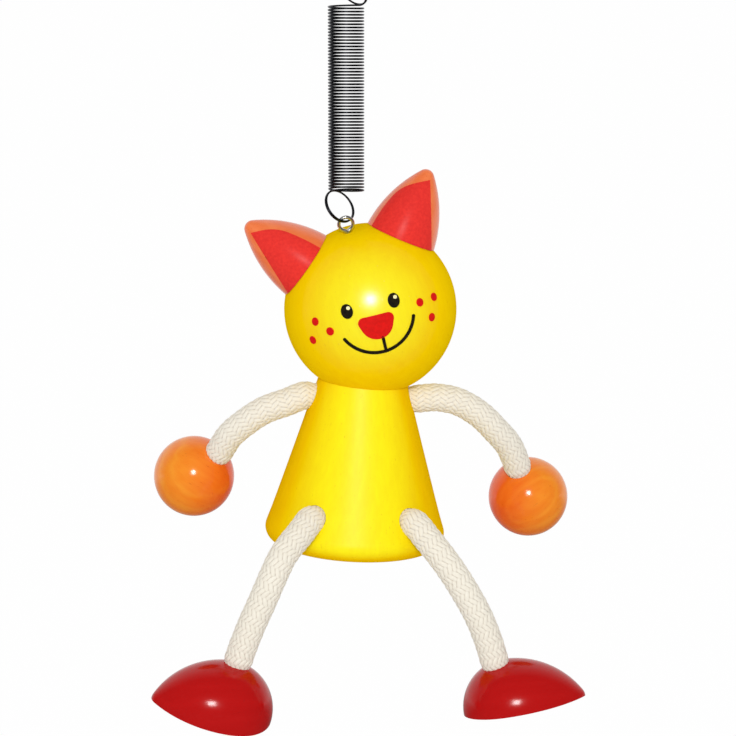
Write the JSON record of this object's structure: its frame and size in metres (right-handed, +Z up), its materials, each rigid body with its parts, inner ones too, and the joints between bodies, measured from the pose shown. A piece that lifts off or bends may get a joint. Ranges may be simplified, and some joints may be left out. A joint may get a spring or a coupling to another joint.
{
  "type": "wooden spring figure",
  "caption": "Turned wooden cat figure with a cone body, ball head, pointed ears and braided cord arms and legs, hanging by a screw eye from a long extension spring.",
  "frame": {"origin": "the point at the top of the upper end loop, on the loop's inner side and on the spring's axis, where the loop rests on a hook", "axes": "+Z up along the hanging spring, the figure faces -Y, +X is to the right of someone who looks at its face"},
  "size_m": [0.1064, 0.0597, 0.1765],
  "materials": {
    "spring_steel": "black-oxidised spring wire, satin",
    "nickel": "nickel-plated steel wire",
    "yellow_lacquer": "bright yellow satin lacquer on turned wood",
    "orange_lacquer": "translucent orange lacquer, grain shows through",
    "red_lacquer": "deep red gloss lacquer on turned wood",
    "plain_wood": "bare beech dowel",
    "red_paint": "opaque red paint",
    "black_paint": "opaque black paint",
    "pale_paint": "opaque pale paint",
    "cord": "cream cotton, round braid"
  },
  "bodies": {
    "hanger": {"spring_top_loop": "spring_steel"},
    "coil": {"spring_coil": "spring_steel"},
    "spring_end": {"spring_bottom_loop": "spring_steel"},
    "figure": {"screw_eye": "nickel", "head": "yellow_lacquer", "ear_left": "orange_lacquer", "ear_right": "orange_lacquer", "ear_peg_left": "plain_wood", "ear_peg_right": "plain_wood", "ear_paint_left": "red_paint", "ear_paint_right": "red_paint", "eye_left": "black_paint", "eye_right": "black_paint", "eye_glints": "pale_paint", "nose": "red_paint", "mouth": "black_paint", "freckles": "red_paint", "neck_dowel": "plain_wood", "body": "yellow_lacquer", "arm_rope_left": "cord", "arm_rope_right": "cord", "leg_rope_left": "cord", "leg_rope_right": "cord"},
    "hand_left": {"hand_left": "orange_lacquer"},
    "hand_right": {"hand_right": "orange_lacquer"},
    "foot_left": {"foot_left": "red_lacquer"},
    "foot_right": {"foot_right": "red_lacquer"}
  },
  "joints": [
    {"name": "spring_swing", "type": "hinge", "parent": "hanger", "child": "coil", "pos_m": [0.00316, 0.00265, -0.00698], "axis": [-0.6428, 0.766, 0], "range_deg": [-25, 25], "stiffness_Nm_per_rad": 0.01, "springref_deg": -5.75},
    {"name": "spring_stretch", "type": "slide", "parent": "coil", "child": "spring_end", "axis": [0, 0, -1], "range_m": [-0.017, 0.1], "stiffness_N_per_m": 13, "springref_m": -0.04469, "deforming": ["spring_coil"]},
    {"name": "figure_swing", "type": "hinge", "parent": "spring_end", "child": "figure", "pos_m": [-0.00009, 0.0001, -0.05822], "axis": [0.766, 0.6428, 0], "range_deg": [-35, 35]},
    {"name": "arm_left_bend", "type": "hinge", "parent": "figure", "child": "hand_left", "pos_m": [-0.01597, 0.00502, -0.10312], "axis": [0, 1, 0], "range_deg": [-15, 75], "stiffness_Nm_per_rad": 0.004, "springref_deg": 7.13, "deforming": ["arm_rope_left"]},
    {"name": "arm_right_bend", "type": "hinge", "parent": "figure", "child": "hand_right", "pos_m": [0.02411, 0.00502, -0.10271], "axis": [0, -1, 0], "range_deg": [-15, 75], "stiffness_Nm_per_rad": 0.004, "springref_deg": 7.9, "deforming": ["arm_rope_right"]},
    {"name": "leg_left_bend", "type": "hinge", "parent": "figure", "child": "foot_left", "pos_m": [-0.01452, -0.01748, -0.13273], "axis": [-0.242, 0.9703, 0], "range_deg": [-10, 60], "stiffness_Nm_per_rad": 0.004, "springref_deg": 5.68, "deforming": ["leg_rope_left"]},
    {"name": "leg_right_bend", "type": "hinge", "parent": "figure", "child": "foot_right", "pos_m": [0.01944, -0.01748, -0.13451], "axis": [-0.2437, -0.9698, 0], "range_deg": [-10, 60], "stiffness_Nm_per_rad": 0.004, "springref_deg": 6.04, "deforming": ["leg_rope_right"]}
  ]
}
